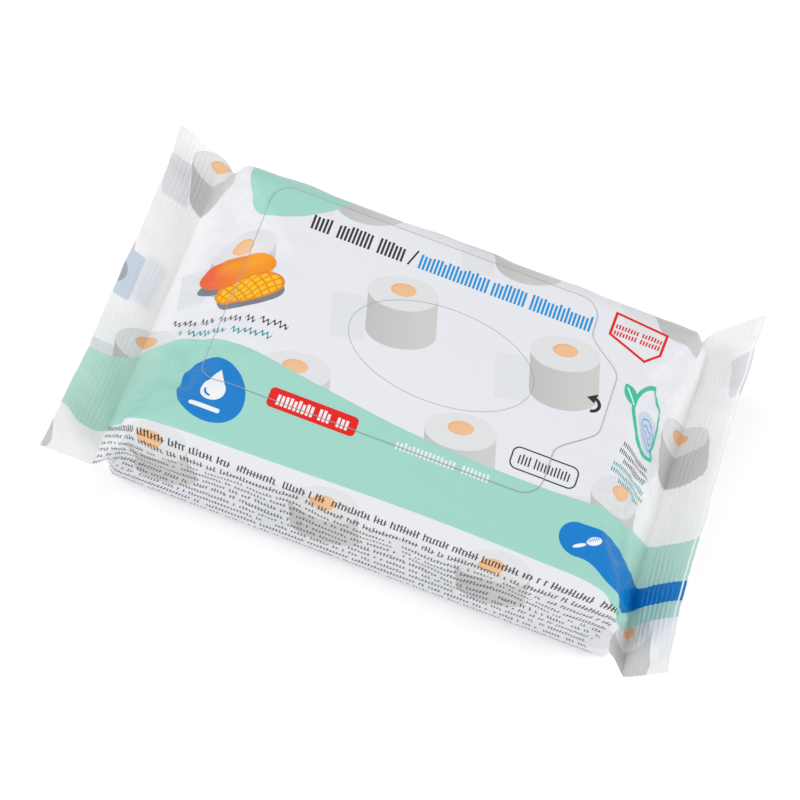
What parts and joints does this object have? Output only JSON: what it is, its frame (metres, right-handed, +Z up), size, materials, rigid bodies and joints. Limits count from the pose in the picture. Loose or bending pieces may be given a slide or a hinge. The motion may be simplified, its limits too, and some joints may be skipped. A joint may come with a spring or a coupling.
{
  "type": "wet wipes pack",
  "caption": "Sealed flow-wrap pack of moist toilet tissues, with crimped end fins and a peel-back label on its top.",
  "frame": {"origin": "under the middle of the pack, on the surface that it lies on", "axes": "+X along the pack, towards the end that the label's pull tab points to; +Y across it, away from the front wall with the small print; +Z up, out of the face with the label"},
  "size_m": [0.2312, 0.152, 0.0435],
  "materials": {
    "printed_film": "glossy",
    "label_film": "glossy"
  },
  "bodies": {
    "root": {"film_pack": "printed_film", "closure_label": "label_film"}
  },
  "joints": []
}
